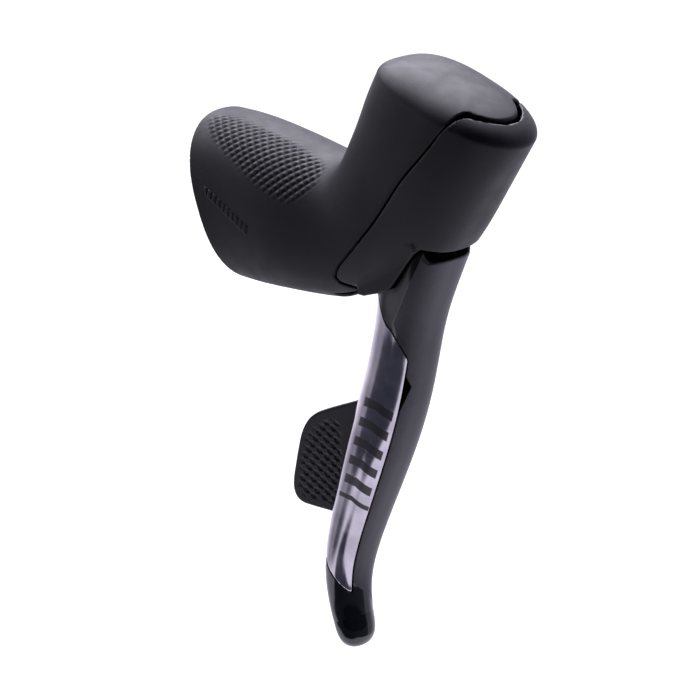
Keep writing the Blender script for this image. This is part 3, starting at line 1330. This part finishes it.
carve("hood_cover_skin", hood_field, (-13, -22, -27), (118, 22, 60), 0.62,
      "housing", "hood_rubber", "hood_cover", plain=lambda pts: hood_field(pts, detail=False),
      refine=grip_zone, shades={"hidden": shade_in_gap})
carve("front_cover_skin", cover_field, (52, -19, -18), (118, 19, 48), 0.55,
      "housing", "cover_polymer", "front_cover", shades={"hidden": shade_in_gap})
carve("housing_core", housing_field, (-11, -19, -25), (115, 19, 57), 0.7,
      "housing", "housing_composite", "body_housing", shades={"hidden": shade_of_core})
carve("lever_blade_skin", blade_field, (44, -21, -132), (92, 14, 17), 0.40,
      "lever", "blade_black", "brake_lever_blade",
      shades={"gloss": gloss_of, "hidden": shade_of_blade})
carve("lever_panel", panel_field, (44, -21, -112), (80, 0, -10), 0.30,
      "lever", "trim_polished", "lever_trim_panel",
      shades={"across": lambda pts: panel_place(blade_local(pts))[2],
              "along": lambda pts: blade_run(blade_local(pts).station)})
carve("paddle_blade", paddle_field, (28, -20, -97), (74, 7, -2), 0.34,
      "paddle", "paddle_polymer", "shift_paddle",
      plain=lambda pts: paddle_field(pts, detail=False), refine=dimple_zone)

# name, field, centre and half size of its grid, pitch, slot, node, body
for name, field, centre, half, pitch, slot, node, body in (
        ("strap_band", strap_field, at_bar(0.5, 0, 0), (22, 18, 22), 0.34,
         "steel", "clamp_band", "housing"),
        ("strap_bolt", bolt_field, at_bar(16.4, -12.6, 0), (10, 5, 10), 0.22,
         "steel", "clamp_bolt", "housing"),
        ("strap_nut", nut_field, EYE[0], (7.5, 4.5, 7.5), 0.25,
         "steel", "clamp_nut", "housing"),
        ("hook_pin", hook_pin_field, HOOK[0], (9, 4, 9), 0.25,
         "steel", "band_hook_pin", "housing"),
        ("hose_line", hose_field, along_line(HOSE, HOSE_LENGTH / 2), (18.5, 3.5, 6), 0.3,
         "hose_jacket", "brake_hose", "housing"),
        ("hose_union", hose_nut_field, along_line(HOSE, 13.8), (8.5, 5.2, 6.5), 0.22,
         "steel", "hose_nut", "housing"),
        ("button_cap", button_field, along_line(BUTTON, 15.2), (5, 3.4, 5), 0.2,
         "button_rubber", "function_button", "button"),
        ("light_window", light_field, along_line(LIGHT, 14.3), (2.2, 3, 2.2), 0.16,
         "light_pipe", "status_light", "housing")):
    centre, half = np.array(centre, float), np.array(half, float)
    carve(name, field, centre - half, centre + half, pitch * (1.0), body,
          slot, node)

# the CAD pieces that still show get materials and softened edges
NODE_SLOT = {node["node"]: node["material_slot"] for node in frame["record"].get("nodes", [])
             if "material_slot" in node}
for name, ob in frame["nodes"].items():
    if ob.hide_render:
        continue
    found = MATERIALS["steel"]
    for key, mat in MATERIALS.items():
        if NODE_SLOT.get(name) == key or any(
                old and old.name.split(".")[0] == key for old in ob.data.materials):
            found = mat
    for slot in ob.material_slots:
        slot.material = found
    bevel = ob.modifiers.new("soft_edges", "BEVEL")
    bevel.width = 0.00016
    bevel.segments = 2
    bevel.limit_method = "ANGLE"
    bevel.angle_limit = math.radians(38)


# ------------------------------------------------------------------ stage and surroundings
def surround(nodes, direction, flip):
    """Studio brightness in a direction: pale behind the object and on the table, dark by the
    camera."""
    def dot(axis):
        axis = tuple(c * (-1.0 if flip else 1.0) for c in axis)
        node = nodes.new("VectorMath", {0: direction, 1: axis}, operation="DOT_PRODUCT")
        return node.outputs["Value"]

    rear = dot((-0.7071, 0.7071, 0.0))
    pale = nodes.math("MAXIMUM", nodes.ramp(rear, -0.12, 1.0),
                      nodes.ramp(rear, -0.05, 0.03, high=0.28), third=0.5)
    # the table shows below a limit that drops towards the front
    limit = nodes.ramp(dot((0.5, -0.866, 0.0)), 0.50, 0.80, 0.375, 0.575)
    over = nodes.math("SUBTRACT", dot((0.0, 0.0, -1.0)), limit, third=0.5)
    table = nodes.ramp(over, -0.02, 0.03, high=0.80)
    bright = nodes.math("MAXIMUM", pale, table, third=0.5)
    return nodes.mix(bright, (0.012, 0.017, 0.034), (1.15, 1.12, 1.28))


def floor_material():
    """Even and pale to the camera; to other rays it looks like the surroundings."""
    m = Material("floor_pale", (0.9, 0.9, 0.9))
    tone = m.ramp(m.noise(6, detail=3), 0.3, 0.7)
    seen = m.new("LightPath").outputs["Is Camera Ray"]
    around = surround(m, m.new("NewGeometry").outputs["Incoming"], flip=True)
    pale = m.mix(tone, (0.20, 0.20, 0.20), (0.21, 0.21, 0.21))
    m.set(Roughness=0.9, Specular_IOR_Level=0.1,
          Base_Color=m.mix(seen, (0.02, 0.02, 0.02), pale),
          Emission_Color=m.mix(seen, around, (0.90, 0.90, 0.90)), Emission_Strength=1.0)
    return m.mat


low, high = CAD_BOX
centre = (low + high) / 2
bpy.ops.mesh.primitive_plane_add(size=6.0, location=(0, 0, low.z - 0.004))
floor = bpy.context.object
floor.name = "floor"
floor.data.materials.append(floor_material())

scene = bpy.context.scene
world = bpy.data.worlds.new("studio")
scene.world = world
world.use_nodes = True
sky = Nodes(world.node_tree)
sky_colour = sky.mix(sky.new("LightPath").outputs["Is Camera Ray"],
                     surround(sky, sky.new("TexCoord").outputs["Generated"], flip=False),
                     (1.0, 1.0, 1.0))
sky.put(world.node_tree.nodes["Background"], "Color", sky_colour)

# ------------------------------------------------------------------ camera and lights
AZIMUTH, ELEVATION, FIELD_OF_VIEW = math.radians(45), math.radians(20), math.radians(15)
DISTANCE = 0.793
TARGET = Vector((0.0356, 0.0, -0.0413))
back = Vector((math.sin(AZIMUTH) * math.cos(ELEVATION), -math.cos(AZIMUTH) * math.cos(ELEVATION),
               math.sin(ELEVATION)))
right = Vector((math.cos(AZIMUTH), math.sin(AZIMUTH), 0))
lens = bpy.data.cameras.new("camera")
lens.sensor_width = 36.0
lens.lens = lens.sensor_width / 2 / math.tan(FIELD_OF_VIEW / 2)
lens.clip_start, lens.clip_end = 0.05, 20
camera = bpy.data.objects.new("camera", lens)
camera.location = TARGET + back * DISTANCE
camera.rotation_euler = (-back).to_track_quat("-Z", "Y").to_euler()
scene.collection.objects.link(camera)
scene.camera = camera


def area(name, offset, size, power, colour, size_y=None):
    """Area light at an offset from the object's centre, aimed at the centre."""
    light = bpy.data.lights.new(name, "AREA")
    light.energy, light.color, light.size = power, colour, size
    if size_y:
        light.shape, light.size_y = "RECTANGLE", size_y
    lamp = bpy.data.objects.new(name, light)
    at = centre + offset
    lamp.location = at
    lamp.rotation_euler = (centre - at).to_track_quat("-Z", "Y").to_euler()
    scene.collection.objects.link(lamp)
    return lamp


area("top_box", Vector((-0.25, 0.25, 0.55)), size=0.5, power=9.6, colour=(0.94, 0.92, 1.04),
     size_y=0.5)
area("left_strip", -right * 0.60 - back * 0.05 + Vector((0, 0, 0.10)), size=0.12, power=0.4,
     colour=(0.98, 0.95, 1.0), size_y=0.6)
area("crest_box", Vector((-0.42, -0.10, 0.48)), size=0.35, power=3.0, colour=(0.94, 0.92, 1.04),
     size_y=0.35)
strip = area("right_strip", right * 0.60 + back * 0.05, size=0.2, power=5.8,
             colour=(0.93, 0.91, 1.06), size_y=0.8)
fill = area("front_fill", back * 0.9 + Vector((0, 0, 0.45)), size=0.5, power=1.0,
            colour=(1, 1, 1))
for lamp in (strip, fill):
    lamp.visible_glossy = False

scene.view_settings.view_transform = "Standard"
